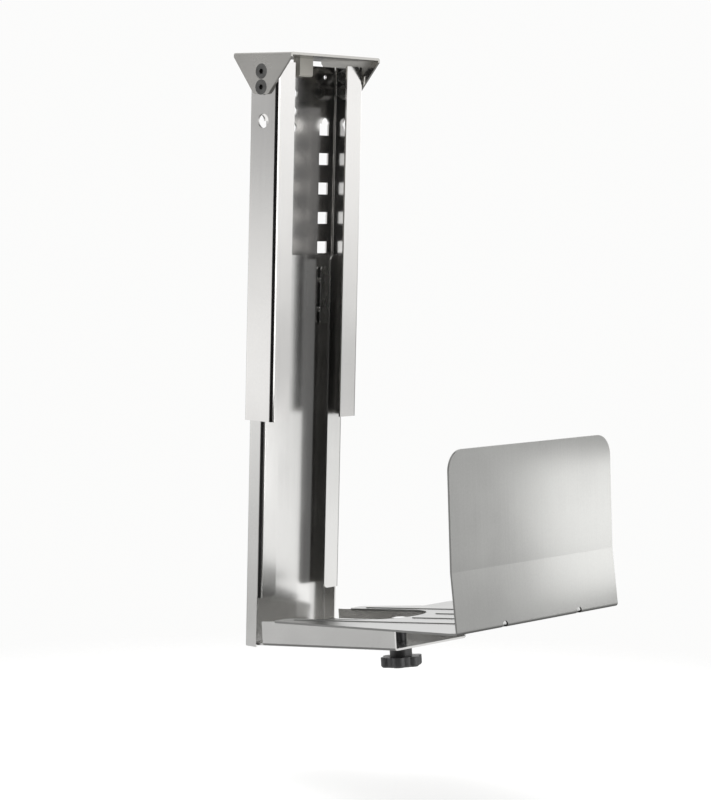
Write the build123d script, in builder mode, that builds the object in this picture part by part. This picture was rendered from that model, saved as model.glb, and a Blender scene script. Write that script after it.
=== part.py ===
"""Under-desk cpu holder: a hanging bracket, two nested channels, a rising arm and a clamped tray."""

import os
from math import cos, radians, sin, tan

from build123d import *

# Sheet
sheet = 2.0
bracket_sheet = 2.5
bend_r = 4.0

# Outer channel, opening towards +X
outer_width = 128.0
outer_depth = 38.0
outer_lip = 25.0
outer_bottom = -364.0
outer_top_gap = 6.5
lip_chamfer_wide = 8.5
lip_chamfer_high = 12.0

# Top bracket
plate_back = -20.0
plate_front = 57.0
ear_drop = 41.0
ear_tip_back = 8.0
ear_tip_front = 27.0
ear_tip_r = 6.0
desk_hole_r = 2.75
desk_hole_inset = 9.0
desk_hole_y = 45.0

# Height slots and other holes in the outer channel
slot_pitch = 30.0
slot_count = 10
slot_first = -72.5
slot_wide = 14.0
slot_high = 12.0
slot_y = 46.0
key_hole_r = 5.5
key_hole_up = 6.5
key_hole_out = 2.0
side_hole_r = 7.0
side_hole_z = -67.0
wall_hole_r = 4.5
wall_hole_first = -37.0
wall_hole_pitch = 17.4
pilot_hole_r = 2.25
pilot_hole_z = -19.5

# Ear screws
ear_screw_r = 4.0
ear_screw_head_r = 7.5
ear_screw_length = 15.0
ear_screw_x = 17.5
ear_screw_z = -18.6
ear_screw_pitch = 15.4
ear_socket_flats = 5.0
ear_socket_depth = 3.0
ear_nut_flats = 13.0
ear_nut_high = 6.5
screw_play = 0.05

# Drop frame: the inner channel and the arm are one folded sheet
web_gap = 1.0
inner_width = 120.0
inner_depth = 20.0
inner_lip = 23.0
inner_top = -200.0
inner_bottom = -592.0
inner_lip_bottom = -542.0
inner_lip_corner_r = 5.0
arm_rise = 5.75
tray_rise = 6.3
arm_length = 194.5
arm_tip_width = 109.0
arm_wall = 24.0
arm_wall_start = 25.0
arm_bend_r = 3.0
stud_along = 155.0

# Guide pads between the side walls
pad_play = 0.1
pad_deep = 12.0
pad_high = 24.0
pad_first = -214.0
pad_pitch = 46.0
pad_round = 3.0

# Height lock
lock_thick = 1.2
lock_wide = 14.0
lock_high = 58.0
nose_wide = 10.0
nose_high = 3.0
nose_drop = 3.5
nose_tip_gap = 0.3
lock_travel = 2.0
lock_play = 0.1
lock_side_play = 0.3
lock_slot_index = 5

# Tray with its side plate
tray_rear = 48.0
tray_rear_width = 136.0
tray_front = 330.0
tray_width = 251.0
tray_corner_r = 8.0
shoulder_start = 119.0
fork_width = 92.0
fork_end = 177.0
bead_rows = ((55.0, 66.0), (18.0, 188.0))
bead_end = 318.0
bead_wide = 5.0
bead_high = 0.8
side_low_lean = 8.8
side_low_high = 56.5
side_top_lean = 3.9
side_top_high = 111.0
side_corner_r = 20.0
foot_bend_r = 3.0
fold_run = 8.0
notch_y = (-54.0, 62.0)
notch_r = 4.0
notch_high = 6.0

# Slide rail under the fork
rail_width = 24.0
rail_rear = 58.0
rail_front = 196.0
rail_sheet = 2.0
rail_drop = 4.0
rail_flange_start = 174.0
rail_travel = 80.0
rail_slot_play = 0.3

# Clamp
stud_r = 4.0
stud_head_flats = 12.0
stud_head_high = 4.0
stud_play = 0.2
sleeve_r = 6.3
washer_r = 10.0
washer_thick = 1.6
neck_r = 11.0
neck_high = 11.0
knob_r = 21.0
knob_high = 10.0
knob_edge = 1.6
knob_lobes = 6
lobe_r = 7.0
insert_r = 6.0
insert_high = 14.0
thread_play = 0.05

# Stop block under the plate
stop_thick = 9.0
stop_wide = 19.5
stop_high = 18.0
stop_y = 7.1

outer_top = -bracket_sheet - outer_top_gap
inner_back = sheet + web_gap
along_x = cos(radians(tray_rise))
along_z = sin(radians(tray_rise))
arm_root = (inner_back, 0, inner_bottom)
arm_slope = tan(radians(arm_rise))
arm_plane = Plane(origin=arm_root, x_dir=(1, 0, arm_slope), z_dir=(-arm_slope, 0, 1))
clamp_plane = Plane(origin=arm_root, x_dir=(along_x, 0, along_z), z_dir=(-along_z, 0, along_x))
tray_low = arm_wall
rail_low = tray_low - rail_sheet - rail_drop
floor_low = -stud_along * tan(radians(tray_rise - arm_rise))
floor_play = 0.1
nose_z = [slot_first - slot_pitch * (lock_slot_index + step) - nose_drop for step in range(2)]
screw_z = [ear_screw_z - ear_screw_pitch * step for step in range(2)]


def channel_profile(back, depth, width, lip):
    """Draw a lipped channel section, its web at the back and its mouth towards +X."""
    with Locations((back + depth / 2, 0)):
        RectangleRounded(depth, width, bend_r)
        RectangleRounded(depth - 2 * sheet, width - 2 * sheet, bend_r - sheet, mode=Mode.SUBTRACT)
    with Locations((back + depth - sheet / 2, 0)):
        Rectangle(2 * sheet, width - 2 * lip, mode=Mode.SUBTRACT)


def export(part, name):
    """Write one piece as a STEP file under its own name."""
    part.label = name
    export_step(part, f"parts/{name}.step")


os.makedirs("parts", exist_ok=True)

# Top bracket: a plate with two triangular ears folded down outside the channel
ear_face = outer_width / 2
bracket_half = ear_face + bracket_sheet
with BuildPart() as top_bracket:
    with BuildSketch(Plane.XY.offset(-bracket_sheet)):
        with Locations(((plate_back + plate_front) / 2, 0)):
            Rectangle(plate_front - plate_back, 2 * bracket_half)
    extrude(amount=bracket_sheet)
    with BuildSketch(Plane.XZ.offset(-bracket_half)) as ear_outline:
        with BuildLine():
            Polyline(
                (plate_back, 0),
                (plate_front, 0),
                (plate_front, -bracket_sheet - 2),
                (ear_tip_front, -ear_drop),
                (ear_tip_back, -ear_drop),
                (plate_back, -bracket_sheet - 2),
                close=True,
            )
        make_face()
        fillet(ear_outline.vertices().sort_by(Axis.Y)[:2], radius=ear_tip_r)
    extrude(amount=bracket_sheet)
    mirror(about=Plane.XZ)
    fillet(top_bracket.edges().filter_by(Axis.X).group_by(Axis.Z)[-1], radius=bracket_sheet)
    desk_hole_x = (plate_back + desk_hole_inset, plate_front - desk_hole_inset)
    with Locations(*[(x, y, 0) for x in desk_hole_x for y in (-desk_hole_y, desk_hole_y)]):
        Hole(radius=desk_hole_r)
    for side in (-1, 1):
        for z in screw_z:
            with Locations(Location((ear_screw_x, side * bracket_half, z), (-90 * side, 0, 0))):
                CounterSinkHole(ear_screw_r + screw_play, ear_screw_head_r + screw_play, 30)

# Outer channel
with BuildPart() as outer_channel:
    with BuildSketch(Plane.XY.offset(outer_bottom)):
        channel_profile(0, outer_depth, outer_width, outer_lip)
    extrude(amount=outer_top - outer_bottom)
    for side in (-1, 1):
        with BuildSketch(Plane.YZ.offset(outer_depth - bend_r)):
            with BuildLine():
                Polyline(
                    (side * outer_width / 2, outer_top),
                    (side * (outer_width / 2 - lip_chamfer_wide), outer_top),
                    (side * outer_width / 2, outer_top - lip_chamfer_high),
                    close=True,
                )
            make_face()
        extrude(amount=2 * bend_r, mode=Mode.SUBTRACT)
        for z in screw_z:
            with Locations(Location((ear_screw_x, side * bracket_half, z), (-90 * side, 0, 0))):
                CounterSinkHole(ear_screw_r + screw_play, ear_screw_head_r + screw_play, 30)
    with BuildSketch(Plane.XZ.offset(-outer_width)):
        with Locations((outer_depth / 2, side_hole_z)):
            Circle(side_hole_r)
    extrude(amount=2 * outer_width, mode=Mode.SUBTRACT)
    with BuildSketch(Plane.YZ.offset(-1)):
        for row in range(slot_count):
            with Locations(*[(side * slot_y, slot_first - slot_pitch * row) for side in (-1, 1)]):
                Rectangle(slot_wide, slot_high)
        with Locations(*[(side * (slot_y + key_hole_out), slot_first + key_hole_up) for side in (-1, 1)]):
            Circle(key_hole_r)
        with Locations(*[(0, wall_hole_first - wall_hole_pitch * row) for row in range(3)]):
            Circle(wall_hole_r)
        with Locations((-slot_y, pilot_hole_z), (slot_y, pilot_hole_z)):
            Circle(pilot_hole_r)
    extrude(amount=sheet + 2, mode=Mode.SUBTRACT)

# Ear screws: countersunk, with a hexagon socket
with BuildPart() as ear_screws:
    for side in (-1, 1):
        for z in screw_z:
            seat = Plane(origin=(ear_screw_x, side * bracket_half, z), x_dir=(1, 0, 0), z_dir=(0, -side, 0))
            with BuildSketch(seat):
                Circle(ear_screw_r)
            extrude(amount=ear_screw_length)
            with BuildSketch(seat):
                Circle(ear_screw_head_r)
            extrude(amount=ear_screw_head_r - ear_screw_r, taper=45)
            with BuildSketch(seat):
                RegularPolygon(ear_socket_flats / 2, 6, major_radius=False)
            extrude(amount=ear_socket_depth, mode=Mode.SUBTRACT)

# Ear nuts, inside the outer channel
with BuildPart() as ear_nuts:
    for side in (-1, 1):
        for z in screw_z:
            face = side * (outer_width / 2 - sheet)
            seat = Plane(origin=(ear_screw_x, face, z), x_dir=(1, 0, 0), z_dir=(0, -side, 0))
            with BuildSketch(seat):
                RegularPolygon(ear_nut_flats / 2, 6, major_radius=False, rotation=30)
                Circle(ear_screw_r + thread_play, mode=Mode.SUBTRACT)
            extrude(amount=ear_nut_high)

# Stop block, screwed up under the plate against the web
with BuildPart() as stop_block:
    with BuildSketch(Plane.XY.offset(-bracket_sheet - stop_high)):
        with Locations((sheet + stop_thick / 2, stop_y)):
            Rectangle(stop_thick, stop_wide)
    extrude(amount=stop_high)
    chamfer(stop_block.edges().filter_by(Axis.Y).group_by(Axis.Z)[0], length=1.5)

# Arm, rising from the foot of the inner channel: its walls end in line with the tray
wall_root = inner_width / 2 - (inner_width - arm_tip_width) / 2 * arm_wall_start / arm_length
with BuildPart() as arm:
    with BuildSketch(arm_plane):
        with BuildLine():
            Polyline(
                (0, -inner_width / 2 + arm_bend_r),
                (arm_wall_start, -inner_width / 2 + arm_bend_r),
                (arm_wall_start, -wall_root),
                (arm_length, -arm_tip_width / 2),
                (arm_length, arm_tip_width / 2),
                (arm_wall_start, wall_root),
                (arm_wall_start, inner_width / 2 - arm_bend_r),
                (0, inner_width / 2 - arm_bend_r),
                close=True,
            )
        make_face()
    extrude(amount=sheet)
    for side in (-1, 1):
        with BuildSketch(arm_plane):
            with BuildLine():
                Polyline(
                    (arm_wall_start, side * wall_root),
                    (arm_length, side * arm_tip_width / 2),
                    (arm_length, side * (arm_tip_width / 2 - sheet)),
                    (arm_wall_start, side * (wall_root - sheet)),
                    close=True,
                )
            make_face()
        extrude(amount=arm_wall + 2 * sheet)
    split(bisect_by=clamp_plane.offset(tray_low), keep=Keep.BOTTOM)
    low_edges = arm.edges().group_by(Axis(arm_plane.origin, arm_plane.z_dir))[0]
    fillet(low_edges.sort_by(SortBy.LENGTH)[-2:], radius=arm_bend_r)
    with BuildSketch(arm_plane):
        with Locations((stud_along, 0)):
            Circle(stud_r + stud_play)
    extrude(amount=sheet, mode=Mode.SUBTRACT)

# Drop frame: the inner channel with the arm
with BuildPart() as drop_frame:
    with BuildSketch(Plane.XY.offset(inner_bottom)):
        channel_profile(inner_back, inner_depth, inner_width, inner_lip)
    extrude(amount=inner_top - inner_bottom)
    with BuildSketch(Plane.YZ.offset(inner_back + inner_depth - bend_r)):
        with Locations((0, (inner_bottom + inner_lip_bottom) / 2 - 1)):
            Rectangle(inner_width + 2, inner_lip_bottom - inner_bottom + 2)
    extrude(amount=2 * bend_r, mode=Mode.SUBTRACT)
    lip_corners = drop_frame.edges().filter_by(Axis.X).filter_by_position(
        Axis.X, inner_back + inner_depth - sheet - 0.1, inner_back + inner_depth + 0.1
    )
    mouth_half = inner_width / 2 - inner_lip + 0.1
    fillet(lip_corners.filter_by_position(Axis.Y, -mouth_half, mouth_half), radius=inner_lip_corner_r)
    with BuildSketch(Plane.YZ.offset(inner_back - 1)):
        with Locations(*[(side * slot_y, z) for side in (-1, 1) for z in nose_z]):
            Rectangle(nose_wide + 2 * lock_side_play, nose_high + 2 * lock_side_play)
    extrude(amount=sheet + 2, mode=Mode.SUBTRACT)
    add(arm.part)

# Guide pads on the inner channel's side walls
pad_thick = outer_width / 2 - sheet - inner_width / 2 - pad_play
with BuildPart() as guide_pads:
    for side in (-1, 1):
        face = inner_width / 2 if side > 0 else -inner_width / 2 - pad_thick
        with BuildSketch(Plane.XZ.offset(-face - pad_thick)):
            pad_x = inner_back + inner_depth / 2
            with Locations((pad_x, pad_first), (pad_x, pad_first - pad_pitch)):
                RectangleRounded(pad_deep, pad_high, pad_round)
        extrude(amount=pad_thick)

# Height locks: two sprung strips whose noses go through the inner web into the slots
lock_back = inner_back + sheet + lock_travel + lock_play
with BuildPart() as height_locks:
    for side in (-1, 1):
        with BuildSketch(Plane.YZ.offset(lock_back)):
            with Locations((side * slot_y, (nose_z[0] + nose_z[1]) / 2)):
                RectangleRounded(lock_wide, lock_high, 3)
        extrude(amount=lock_thick)
        with BuildSketch(Plane.YZ.offset(sheet + nose_tip_gap)):
            with Locations(*[(side * slot_y, z) for z in nose_z]):
                Rectangle(nose_wide, nose_high)
        extrude(amount=lock_back - sheet - nose_tip_gap)

# Tray: a forked plate that widens to its side plate, folded from one sheet
tray_plane = clamp_plane.offset(tray_low)
low_slope = tan(radians(side_low_lean))
top_slope = tan(radians(side_top_lean))
foot_x = inner_back + tray_front * along_x - tray_low * along_z
foot_z = inner_bottom + tray_front * along_z + tray_low * along_x
crease_x = foot_x - side_low_high * low_slope
crease_z = foot_z + side_low_high
top_x = crease_x - side_top_high * top_slope
top_z = crease_z + side_top_high
inner_rise = sheet * (1 - along_z) / (along_x + low_slope * along_z)
fold_x = foot_x - fold_run * along_x
fold_z = foot_z - fold_run * along_z
fork_round = fork_end - fork_width / 2
flare = (tray_width - tray_rear_width) / 2 / (tray_front - fold_run - tray_rear)
shoulder_root = tray_rear_width / 2 + flare * (shoulder_start - tray_rear)
with BuildPart() as tray:
    with BuildSketch(tray_plane) as tray_outline:
        with BuildLine():
            Polyline(
                (tray_rear, -tray_rear_width / 2),
                (tray_front - fold_run, -tray_width / 2),
                (tray_front - fold_run, tray_width / 2),
                (shoulder_start, tray_width / 2),
                (shoulder_start, shoulder_root),
                (tray_rear, tray_rear_width / 2),
                close=True,
            )
        make_face()
        with Locations(((tray_rear + fork_round) / 2, 0)):
            Rectangle(fork_round - tray_rear, fork_width, mode=Mode.SUBTRACT)
        with Locations((fork_round, 0)):
            Circle(fork_width / 2, mode=Mode.SUBTRACT)
        fillet(tray_outline.vertices().group_by(Axis.X)[0], radius=tray_corner_r)
    extrude(amount=sheet)
    with BuildSketch(tray_plane.offset(sheet)):
        for bead_y, bead_start in bead_rows:
            with Locations(*[((bead_start + bead_end) / 2, side * bead_y) for side in (-1, 1)]):
                SlotOverall(bead_end - bead_start, bead_wide)
    extrude(amount=bead_high)
    with BuildSketch(Plane.XZ.offset(-tray_width / 2)) as side_profile:
        with BuildLine():
            Polyline(
                (fold_x, fold_z),
                (foot_x, foot_z),
                (crease_x, crease_z),
                (top_x, top_z),
                (top_x - sheet, top_z),
                (crease_x - sheet, crease_z),
                (foot_x - sheet - inner_rise * low_slope, foot_z + inner_rise),
                (fold_x - sheet * along_z, fold_z + sheet * along_x),
                close=True,
            )
        make_face()
        fillet(side_profile.vertices().sort_by(Axis.X)[-1], radius=foot_bend_r)
        inner_foot = side_profile.vertices().filter_by_position(Axis.Y, foot_z + 1, foot_z + 3)
        fillet(inner_foot, radius=foot_bend_r - sheet)
    extrude(amount=tray_width)
    fillet(tray.edges().group_by(Axis.Z)[-1].filter_by(Axis.X), radius=side_corner_r)
    with BuildSketch(Plane.YZ.offset(foot_x - bend_r)):
        for y in notch_y:
            with Locations((y, foot_z)):
                SlotOverall(2 * notch_high, 2 * notch_r, rotation=90)
    extrude(amount=2 * bend_r, mode=Mode.SUBTRACT)

# Slide rail: a joggled strip welded under the tray, its slot running along the clamp stud
with BuildPart() as slide_rail:
    with BuildSketch(clamp_plane.offset(rail_low)):
        with Locations(((rail_rear + rail_flange_start) / 2, 0)):
            Rectangle(rail_flange_start - rail_rear, rail_width)
        slot_half = stud_r + rail_slot_play
        with Locations((stud_along - rail_travel / 2, 0)):
            SlotOverall(rail_travel + 2 * slot_half, 2 * slot_half, mode=Mode.SUBTRACT)
    extrude(amount=rail_sheet)
    with BuildSketch(clamp_plane.offset(rail_low)):
        with Locations((rail_flange_start + rail_sheet / 2, 0)):
            Rectangle(rail_sheet, rail_width)
    extrude(amount=tray_low - rail_low)
    with BuildSketch(clamp_plane.offset(tray_low - rail_sheet)):
        with Locations(((rail_flange_start + rail_front) / 2, 0)):
            Rectangle(rail_front - rail_flange_start, rail_width)
    extrude(amount=rail_sheet)

# Clamp stud with its hexagon head on the rail
with BuildPart() as clamp_stud:
    with BuildSketch(clamp_plane.offset(rail_low + rail_sheet)):
        with Locations((stud_along, 0)):
            RegularPolygon(stud_head_flats / 2, 6, major_radius=False, rotation=30)
    extrude(amount=stud_head_high)
    stud_low = floor_low - floor_play - washer_thick - neck_high - 3
    with BuildSketch(clamp_plane.offset(stud_low)):
        with Locations((stud_along, 0)):
            Circle(stud_r)
    extrude(amount=rail_low + rail_sheet - stud_low)

# Spacer sleeve between the arm's floor and the rail
with BuildPart() as spacer_sleeve:
    with BuildSketch(clamp_plane.offset(floor_low + sheet + floor_play)):
        with Locations((stud_along, 0)):
            Circle(sleeve_r)
            Circle(stud_r + stud_play, mode=Mode.SUBTRACT)
    extrude(amount=rail_low - floor_low - sheet - floor_play)

# Washer under the arm's floor
knob_top = floor_low - floor_play - washer_thick
with BuildPart() as clamp_washer:
    with BuildSketch(clamp_plane.offset(knob_top)):
        with Locations((stud_along, 0)):
            Circle(washer_r)
            Circle(stud_r + stud_play, mode=Mode.SUBTRACT)
    extrude(amount=washer_thick)

# Knob: a round neck over a lobed head, bored for its threaded insert
with BuildPart() as clamp_knob:
    with BuildSketch(clamp_plane.offset(knob_top - neck_high)):
        with Locations((stud_along, 0)):
            Circle(neck_r)
    extrude(amount=neck_high)
    with BuildSketch(clamp_plane.offset(knob_top - neck_high - knob_high)):
        with Locations((stud_along, 0)):
            Circle(knob_r - 3)
            with PolarLocations(knob_r - lobe_r, knob_lobes):
                Circle(lobe_r)
    extrude(amount=knob_high)
    chamfer(clamp_knob.edges().group_by(Axis(clamp_plane.origin, clamp_plane.z_dir))[0], length=knob_edge)
    with BuildSketch(clamp_plane.offset(knob_top - insert_high)):
        with Locations((stud_along, 0)):
            Circle(insert_r)
    extrude(amount=insert_high, mode=Mode.SUBTRACT)
with BuildPart() as knob_insert:
    with BuildSketch(clamp_plane.offset(knob_top - insert_high)):
        with Locations((stud_along, 0)):
            Circle(insert_r)
            Circle(stud_r + thread_play, mode=Mode.SUBTRACT)
    extrude(amount=insert_high)

export(top_bracket.part, "top_bracket")
export(outer_channel.part, "outer_channel")
export(ear_screws.part, "ear_screws")
export(ear_nuts.part, "ear_nuts")
export(stop_block.part, "stop_block")
export(drop_frame.part, "drop_frame")
export(guide_pads.part, "guide_pads")
export(height_locks.part, "height_locks")
export(tray.part, "tray")
export(slide_rail.part, "slide_rail")
export(clamp_stud.part, "clamp_stud")
export(spacer_sleeve.part, "spacer_sleeve")
export(clamp_washer.part, "clamp_washer")
export(clamp_knob.part, "clamp_knob")
export(knob_insert.part, "knob_insert")
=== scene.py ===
import math

import bpy
from mathutils import Matrix, Vector


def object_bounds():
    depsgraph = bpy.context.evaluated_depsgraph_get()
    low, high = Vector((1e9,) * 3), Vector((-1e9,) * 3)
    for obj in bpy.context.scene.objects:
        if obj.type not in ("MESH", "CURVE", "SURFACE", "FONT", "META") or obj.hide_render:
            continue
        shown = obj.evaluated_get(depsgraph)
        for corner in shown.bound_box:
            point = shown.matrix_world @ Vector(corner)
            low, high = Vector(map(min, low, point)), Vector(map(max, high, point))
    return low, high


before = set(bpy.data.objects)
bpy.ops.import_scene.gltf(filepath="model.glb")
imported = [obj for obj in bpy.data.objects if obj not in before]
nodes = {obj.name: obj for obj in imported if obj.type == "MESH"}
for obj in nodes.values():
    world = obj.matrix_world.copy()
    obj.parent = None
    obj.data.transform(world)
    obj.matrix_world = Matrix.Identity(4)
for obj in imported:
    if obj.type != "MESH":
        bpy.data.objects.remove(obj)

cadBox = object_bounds()
print("frame loaded:", len(nodes), "pieces")


class Wire:
    # One output socket, so that shader maths can be written as expressions

    def __init__(self, bench, socket):
        self.bench = bench
        self.socket = socket

    def maths(self, operation, left, right=None):
        values = {0: left} if right is None else {0: left, 1: right}
        return self.bench.make("ShaderNodeMath", {"operation": operation}, values)

    def __add__(self, other):
        return self.maths("ADD", self, other)

    def __radd__(self, other):
        return self.maths("ADD", other, self)

    def __sub__(self, other):
        return self.maths("SUBTRACT", self, other)

    def __rsub__(self, other):
        return self.maths("SUBTRACT", other, self)

    def __mul__(self, other):
        return self.maths("MULTIPLY", self, other)

    def __rmul__(self, other):
        return self.maths("MULTIPLY", other, self)

    def between(self, low, high):
        # 0 below low, 1 above high, smooth between them
        settings = {"interpolation_type": "SMOOTHSTEP"}
        values = {"Value": self, "From Min": low, "From Max": high}
        return self.bench.make("ShaderNodeMapRange", settings, values)


class Bench:
    # The node tree that one finish is made in

    def __init__(self, owner):
        owner.use_nodes = True
        self.owner = owner
        self.tree = owner.node_tree
        self.tree.nodes.clear()

    def make(self, kind, settings=None, values=None, output=0):
        node = self.tree.nodes.new(kind)
        for key, value in (settings or {}).items():
            if key == "stops":
                self.setStops(node.color_ramp, value)
            else:
                setattr(node, key, value)
        for key, value in (values or {}).items():
            if isinstance(value, Wire):
                self.tree.links.new(value.socket, node.inputs[key])
            else:
                node.inputs[key].default_value = value
        return Wire(self, node.outputs[output]) if node.outputs else node

    def setStops(self, ramp, stops):
        while len(ramp.elements) < len(stops):
            ramp.elements.new(0.5)
        for element, (place, colour) in zip(ramp.elements, stops):
            element.position = place
            element.color = (*colour, 1)

    def place(self):
        return self.make("ShaderNodeTexCoord", output=3)

    def vectors(self, operation, left, right=None, output=0):
        values = {0: left} if right is None else {0: left, 1: right}
        return self.make("ShaderNodeVectorMath", {"operation": operation}, values, output)

    def noise(self, scale, detail, rough, stretch=(1, 1, 1)):
        coords = self.vectors("MULTIPLY", self.place(), stretch)
        values = {"Vector": coords, "Scale": scale, "Detail": detail, "Roughness": rough}
        return self.make("ShaderNodeTexNoise", {}, values)

    def blend(self, factor, low, high):
        values = {0: factor}
        for socket, colour in ((6, low), (7, high)):
            values[socket] = (*colour, 1) if isinstance(colour, tuple) else colour
        return self.make("ShaderNodeMix", {"data_type": "RGBA"}, values, output=2)

    def bump(self, height, strength, distance):
        values = {"Height": height, "Strength": strength, "Distance": distance}
        return self.make("ShaderNodeBump", {}, values)

    def rings(self, axes, pitch):
        # Tool rings round the nearest of some axes that run along Y
        flat = self.vectors("MULTIPLY", self.place(), (1, 0, 1))
        nearest = None
        for x, z in axes:
            distance = self.vectors("DISTANCE", flat, (x, 0, z), output=1)
            nearest = distance if nearest is None else nearest.maths("MINIMUM", nearest, distance)
        wave = nearest.maths("SINE", nearest * (math.tau / pitch))
        return wave * 0.5 + 0.5

    def surface(self, fixed, varied):
        shader = self.make("ShaderNodeBsdfPrincipled", {}, {**fixed, **varied})
        self.make("ShaderNodeOutputMaterial", {}, {"Surface": shader})
        return self.owner


def newBench(name):
    return Bench(bpy.data.materials.new(name))


def sheetFinish(name, look):
    # Rolled and brushed sheet: long grain, finer hairlines in it, specks and faint handling marks
    hairFiner, cloudSize, speckSize = 3.3, 9, 520
    markRough, reliefDepth = 0.05, 0.00012
    bench = newBench(name)
    grain = bench.noise(look["grain"], 2, 0.6, look["stretch"])
    hair = bench.noise(look["grain"] * hairFiner, 1, 0.5, look["stretch"])
    cloud = bench.noise(cloudSize, 3, 0.55)
    speck = bench.noise(speckSize, 2, 0.6)
    brushed = grain * 0.6 + hair * 0.4
    tone = brushed * 0.35 + cloud.between(0.3, 0.7) * 0.3 + speck * 0.35
    colour = bench.blend(tone, look["low"], look["high"])
    marks = cloud.between(0.45, 0.75)
    rough = (brushed - 0.5) * look["roughSpread"] + marks * markRough + look["rough"]
    normal = bench.bump(brushed + speck * 0.3, look["bump"], reliefDepth)
    varied = {"Base Color": colour, "Roughness": rough, "Normal": normal}
    return bench.surface({"Metallic": look["metal"]}, varied)


def plasticFinish(name, look):
    # Moulded plastic with a fine spark texture and slightly duller patches
    cloudSize, sparkRough, patchRough, reliefDepth = 30, 0.2, 0.08, 0.0002
    bench = newBench(name)
    spark = bench.noise(look["grain"], 4, 0.7)
    cloud = bench.noise(cloudSize, 2, 0.5)
    tone = spark.between(0.3, 0.7) * 0.5 + cloud * 0.5
    colour = bench.blend(tone, look["low"], look["high"])
    rough = (spark - 0.5) * sparkRough + cloud.between(0.4, 0.7) * patchRough + look["rough"]
    normal = bench.bump(spark, look["bump"], reliefDepth)
    varied = {"Base Color": colour, "Roughness": rough, "Normal": normal}
    return bench.surface({"IOR": 1.5}, varied)


def turnedFinish(name, look):
    # Small plated or turned hardware: fine grit, dull patches and, round given axes, tool rings
    gritSize, cloudSize, gritRough, patchRough, reliefDepth = 900, 80, 0.16, 0.08, 0.00008
    bench = newBench(name)
    fine = bench.noise(gritSize, 3, 0.6)
    cloud = bench.noise(cloudSize, 2, 0.5)
    tone = fine * 0.4 + cloud.between(0.3, 0.7) * 0.6
    relief = fine
    if "axes" in look:
        rings = bench.rings(look["axes"], look["ringPitch"])
        tone = tone * 0.6 + rings * 0.4
        relief = fine * 0.5 + rings
    colour = bench.blend(tone, look["low"], look["high"])
    rough = (fine - 0.5) * gritRough + cloud * patchRough + look["rough"]
    normal = bench.bump(relief, look["bump"], reliefDepth)
    varied = {"Base Color": colour, "Roughness": rough, "Normal": normal}
    return bench.surface({"Metallic": look["metal"]}, varied)


edgeSetup = {"segments": 2, "sharperThan": 35}  # which edges are softened, in degrees


def dress(name, material, soften=0.0):
    # Gives a piece its finish and rounds its sharp edges by the width given, in metres
    piece = nodes[name]
    piece.data.materials.clear()
    piece.data.materials.append(material)
    if soften:
        edge = piece.modifiers.new("softEdge", "BEVEL")
        edge.width = soften
        edge.segments = edgeSetup["segments"]
        edge.limit_method = "ANGLE"
        edge.angle_limit = math.radians(edgeSetup["sharperThan"])


# Bracket
bracketLook = {
    "low": (0.46, 0.45, 0.43), "high": (0.62, 0.61, 0.58), "metal": 1.0,
    "rough": 0.24, "roughSpread": 0.08,
    "grain": 420, "stretch": (0.03, 1, 1), "bump": 0.10,
}
dress("top_bracket", sheetFinish("bracketSteel", bracketLook), 0.0007)

# Outer channel
channelLook = {
    "low": (0.66, 0.65, 0.64), "high": (0.82, 0.81, 0.79), "metal": 1.0,
    "rough": 0.155, "roughSpread": 0.05,
    "grain": 460, "stretch": (1, 1, 0.012), "bump": 0.06,
}
dress("outer_channel", sheetFinish("channelSteel", channelLook), 0.0003)

# Drop frame: inner channel and arm
frameLook = {
    "low": (0.66, 0.655, 0.64), "high": (0.82, 0.815, 0.80), "metal": 1.0,
    "rough": 0.20, "roughSpread": 0.05,
    "grain": 460, "stretch": (0.012, 1, 0.012), "bump": 0.06,
}
dress("drop_frame", sheetFinish("frameSteel", frameLook), 0.0003)

# Tray
trayLook = {
    "low": (0.25, 0.25, 0.243), "high": (0.355, 0.355, 0.345), "metal": 1.0,
    "rough": 0.30, "roughSpread": 0.08,
    "grain": 460, "stretch": (0.012, 1, 0.012), "bump": 0.07,
}
dress("tray", sheetFinish("traySteel", trayLook), 0.0003)

# Slide rail and height locks, a little apart from their neighbours in gloss
railLook = {**trayLook, "rough": 0.26}
dress("slide_rail", sheetFinish("railSteel", railLook), 0.0003)
lockLook = {**frameLook, "rough": 0.25}
dress("height_locks", sheetFinish("lockSteel", lockLook), 0.0002)
print("sheet pieces dressed")

# Screws and other hardware
screwLook = {
    "low": (0.09, 0.09, 0.09), "high": (0.26, 0.26, 0.25), "metal": 0.95,
    "rough": 0.34, "bump": 0.3,
    "axes": [(0.0175, -0.0186), (0.0175, -0.034)], "ringPitch": 0.0013,
}
dress("ear_screws", turnedFinish("burnishedSteel", screwLook), 0.0003)
platedLook = {
    "low": (0.58, 0.58, 0.57), "high": (0.76, 0.76, 0.75), "metal": 1.0, "rough": 0.25, "bump": 0.1,
}
platedSteel = turnedFinish("platedSteel", platedLook)
dress("ear_nuts", platedSteel, 0.0004)
dress("clamp_stud", platedSteel, 0.0003)
dress("clamp_washer", platedSteel, 0.0002)
brassLook = {
    "low": (0.52, 0.36, 0.15), "high": (0.75, 0.57, 0.28), "metal": 1.0, "rough": 0.3, "bump": 0.1,
}
dress("knob_insert", turnedFinish("turnedBrass", brassLook))

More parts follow.
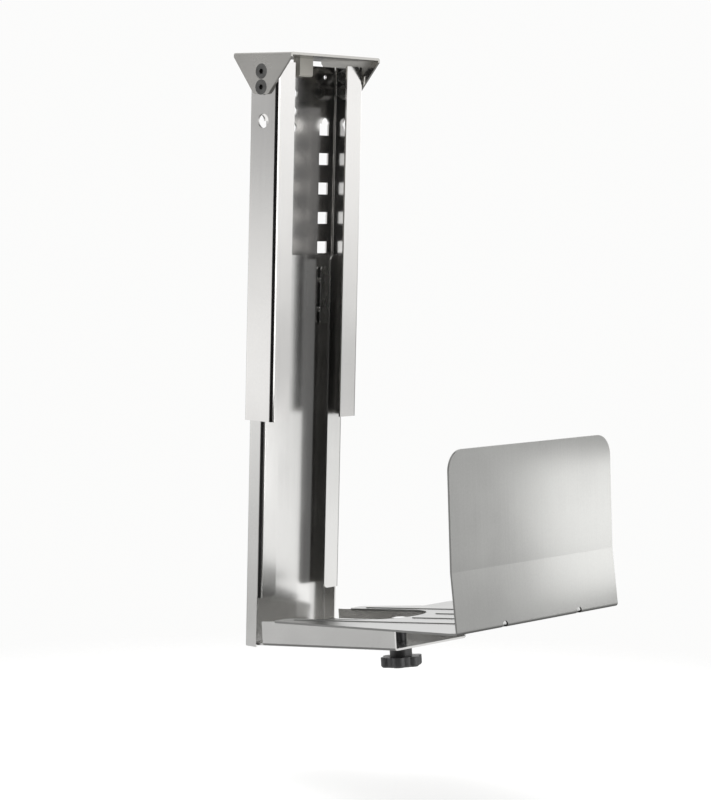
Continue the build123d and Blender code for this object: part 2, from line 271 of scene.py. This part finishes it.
# Plastic pieces
knobLook = {
    "low": (0.034, 0.034, 0.035), "high": (0.095, 0.095, 0.097), "rough": 0.30,
    "grain": 1400, "bump": 0.25,
}
blackPlastic = plasticFinish("blackPlastic", knobLook)
dress("clamp_knob", blackPlastic, 0.0012)
dress("spacer_sleeve", blackPlastic)
blockLook = {
    "low": (0.56, 0.54, 0.49), "high": (0.68, 0.66, 0.60), "rough": 0.45,
    "grain": 1100, "bump": 0.2,
}
dress("stop_block", plasticFinish("beigePlastic", blockLook), 0.0006)
padLook = {
    "low": (0.62, 0.62, 0.58), "high": (0.74, 0.74, 0.70), "rough": 0.4,
    "grain": 1200, "bump": 0.1,
}
dress("guide_pads", plasticFinish("padPlastic", padLook))
print("hardware dressed")

# Floor: a pale round sheet that fades out at its rim
floorSetup = {
    "reach": 1.0, "sides": 96, "below": 0.13, "fadeFrom": 0.38, "fadeTo": 0.95,
    "low": (0.90, 0.90, 0.89), "high": (0.94, 0.94, 0.935), "glow": 0.35,
}
sides = floorSetup["sides"]
rim = []
for step in range(sides):
    angle = math.tau * step / sides
    rim.append(Vector((math.cos(angle), math.sin(angle), 0)) * floorSetup["reach"])
slices = [(0, step + 1, (step + 1) % sides + 1) for step in range(sides)]
floorMesh = bpy.data.meshes.new("studioFloor")
floorMesh.from_pydata([(0, 0, 0)] + rim, [], slices)
floor = bpy.data.objects.new("studioFloor", floorMesh)
bpy.context.collection.objects.link(floor)
floor.location = ((cadBox[0].x + cadBox[1].x) / 2, 0, cadBox[0].z - floorSetup["below"])
floorBench = newBench("paleFloor")
floorTone = floorBench.noise(3, 4, 0.6)
floorColour = floorBench.blend(floorTone, floorSetup["low"], floorSetup["high"])
fromMiddle = floorBench.vectors("LENGTH", floorBench.place(), output=1)
fade = 1 - fromMiddle.between(floorSetup["fadeFrom"], floorSetup["fadeTo"])
floorFixed = {
    "Roughness": 0.9, "Emission Strength": floorSetup["glow"], "Emission Color": (1, 1, 1, 1),
}
floorFinish = floorBench.surface(floorFixed, {"Base Color": floorColour, "Alpha": fade})
floorMesh.materials.append(floorFinish)
floor.visible_glossy = False  # the steel mirrors the studio, not the floor

# Studio: light by direction. Bands are (elevation in degrees, brightness) on the two flanks,
# pale behind, and unlit towards the room in front
studio = {
    "flank": (0.653, 0.757, 0.0),  # towards the far flank; the near one is opposite
    "flankBlend": 0.35,
    "front": (0.502, -0.863, 0.06),
    "frontFrom": 0.40, "frontTo": 0.70, "frontShade": (0.006, 0.006, 0.006),
    "frontLow": (-0.42, -0.30), "frontHigh": (0.16, 0.32),
    "backFrom": 0.45, "backTo": 0.85, "backLevel": (-0.05, 0.02),
    "backShade": (1.45, 1.45, 1.45), "backLow": (0.25, 0.25, 0.25),
    "near": [
        (-90, 0.25), (-40, 0.2), (-22, 0.35), (-15, 0.85), (-11, 0.5), (-8.5, 0.38),
        (-5, 1.4), (-1.5, 1.0), (1, 0.45), (12, 0.5), (60, 0.8), (90, 0.9),
    ],
    "far": [
        (-90, 0.3), (-40, 0.3), (-20, 0.6), (-11, 1.15), (-8.5, 1.3), (-5, 0.62),
        (-3.5, 0.64), (-1, 1.1), (2, 1.25), (5, 1.3), (12, 0.6), (45, 0.5), (90, 0.8),
    ],
    "backdrop": (0.97, 0.97, 0.965),
}
world = bpy.data.worlds.new("studioWorld")
bpy.context.scene.world = world
air = Bench(world)
ray = air.make("ShaderNodeTexCoord", output=0)


def along(direction):
    return air.vectors("DOT_PRODUCT", ray, direction, output=1)


def bands(levels):
    # Brightness by elevation, as a ramp over the sine of the angle
    peak = max(level for place, level in levels)
    stops = []
    for place, level in levels:
        stops.append(((math.sin(math.radians(place)) + 1) / 2, (level / peak,) * 3))
    return air.make("ShaderNodeValToRGB", {"stops": stops}, {"Fac": rise * 0.5 + 0.5}) * peak


rise = along((0, 0, 1))
across = along(studio["flank"]).between(-studio["flankBlend"], studio["flankBlend"])
flanks = {0: across, 2: bands(studio["near"]), 3: bands(studio["far"])}
glow = air.make("ShaderNodeMix", {"data_type": "FLOAT"}, flanks)
toFront = along(studio["front"])
behind = (toFront * -1).between(studio["backFrom"], studio["backTo"])
backLight = air.blend(rise.between(*studio["backLevel"]), studio["backLow"], studio["backShade"])
inFront = toFront.between(studio["frontFrom"], studio["frontTo"])
inFront = inFront * rise.between(*studio["frontLow"]) * (1 - rise.between(*studio["frontHigh"]))
airColour = air.blend(behind, glow, backLight)
airColour = air.blend(inFront, airColour, studio["frontShade"])
seen = air.make("ShaderNodeLightPath", output=0)
airColour = air.blend(seen, airColour, studio["backdrop"])
background = air.make("ShaderNodeBackground", {}, {"Color": airColour, "Strength": 1.0})
air.make("ShaderNodeOutputWorld", {}, {"Surface": background})
print("studio air set")

# Lamps: one overhead, a broad fill, a glow on the side plate, and two faint strips that stand in
# for what the inside of the lips throws back
lamps = {
    "overhead": {
        "place": (0.4, -0.3, 2.4), "aim": (0.12, 0, -0.35), "size": 1.8, "power": 22,
    },
    "plateGlow": {
        "place": (0.44, 0.255, -0.45), "aim": (0.33, 0.12, -0.5), "size": 0.13, "power": 0.10,
    },
    "fill": {
        "place": (2.0, 0.2, 0.05), "aim": (0.12, 0, -0.3), "size": 1.5, "power": 9,
    },
    "outerGlow": {
        "place": (0.024, 0.0455, -0.125), "aim": (-0.626, -0.7095, -0.125),
        "size": 0.025, "tall": 0.15, "power": 0.0014,
    },
    "innerGlow": {
        "place": (0.015, 0.0358, -0.39), "aim": (-0.635, -0.7192, -0.39),
        "size": 0.013, "tall": 0.37, "power": 0.002,
    },
}
for name, setup in lamps.items():
    lampData = bpy.data.lights.new(name, "AREA")
    lampData.energy = setup["power"]
    lampData.size = setup["size"]
    if "tall" in setup:
        lampData.shape = "RECTANGLE"
        lampData.size_y = setup["tall"]
    lamp = bpy.data.objects.new(name, lampData)
    bpy.context.collection.objects.link(lamp)
    lamp.location = setup["place"]
    lamp.visible_camera = False
    aim = Vector(setup["aim"]) - lamp.location
    lamp.rotation_euler = aim.to_track_quat("-Z", "Y").to_euler()

# Camera: angles in degrees, lens in millimetres
cameraSetup = {
    "place": (1.76493, -1.93939, -0.12317), "heading": 130.783, "down": 4.859, "roll": 1.268,
    "lens": 116.37, "reach": 50,
}
heading = math.radians(cameraSetup["heading"])
down = math.radians(cameraSetup["down"])
roll = math.radians(cameraSetup["roll"])
level = math.cos(down)
ahead = Vector((math.cos(heading) * level, math.sin(heading) * level, -math.sin(down)))
side = Vector((math.sin(heading), -math.cos(heading), 0))
top = side.cross(ahead)
sideRolled = side * math.cos(roll) + top * math.sin(roll)
topRolled = top * math.cos(roll) - side * math.sin(roll)
cameraData = bpy.data.cameras.new("studioCamera")
cameraData.lens = cameraSetup["lens"]
cameraData.clip_end = cameraSetup["reach"]
camera = bpy.data.objects.new("studioCamera", cameraData)
bpy.context.collection.objects.link(camera)
turned = Matrix((sideRolled, topRolled, -ahead)).transposed()
camera.matrix_world = Matrix.Translation(cameraSetup["place"]) @ turned.to_4x4()
bpy.context.scene.camera = camera
bpy.context.scene.view_settings.view_transform = "Standard"
print("lamps and camera set")
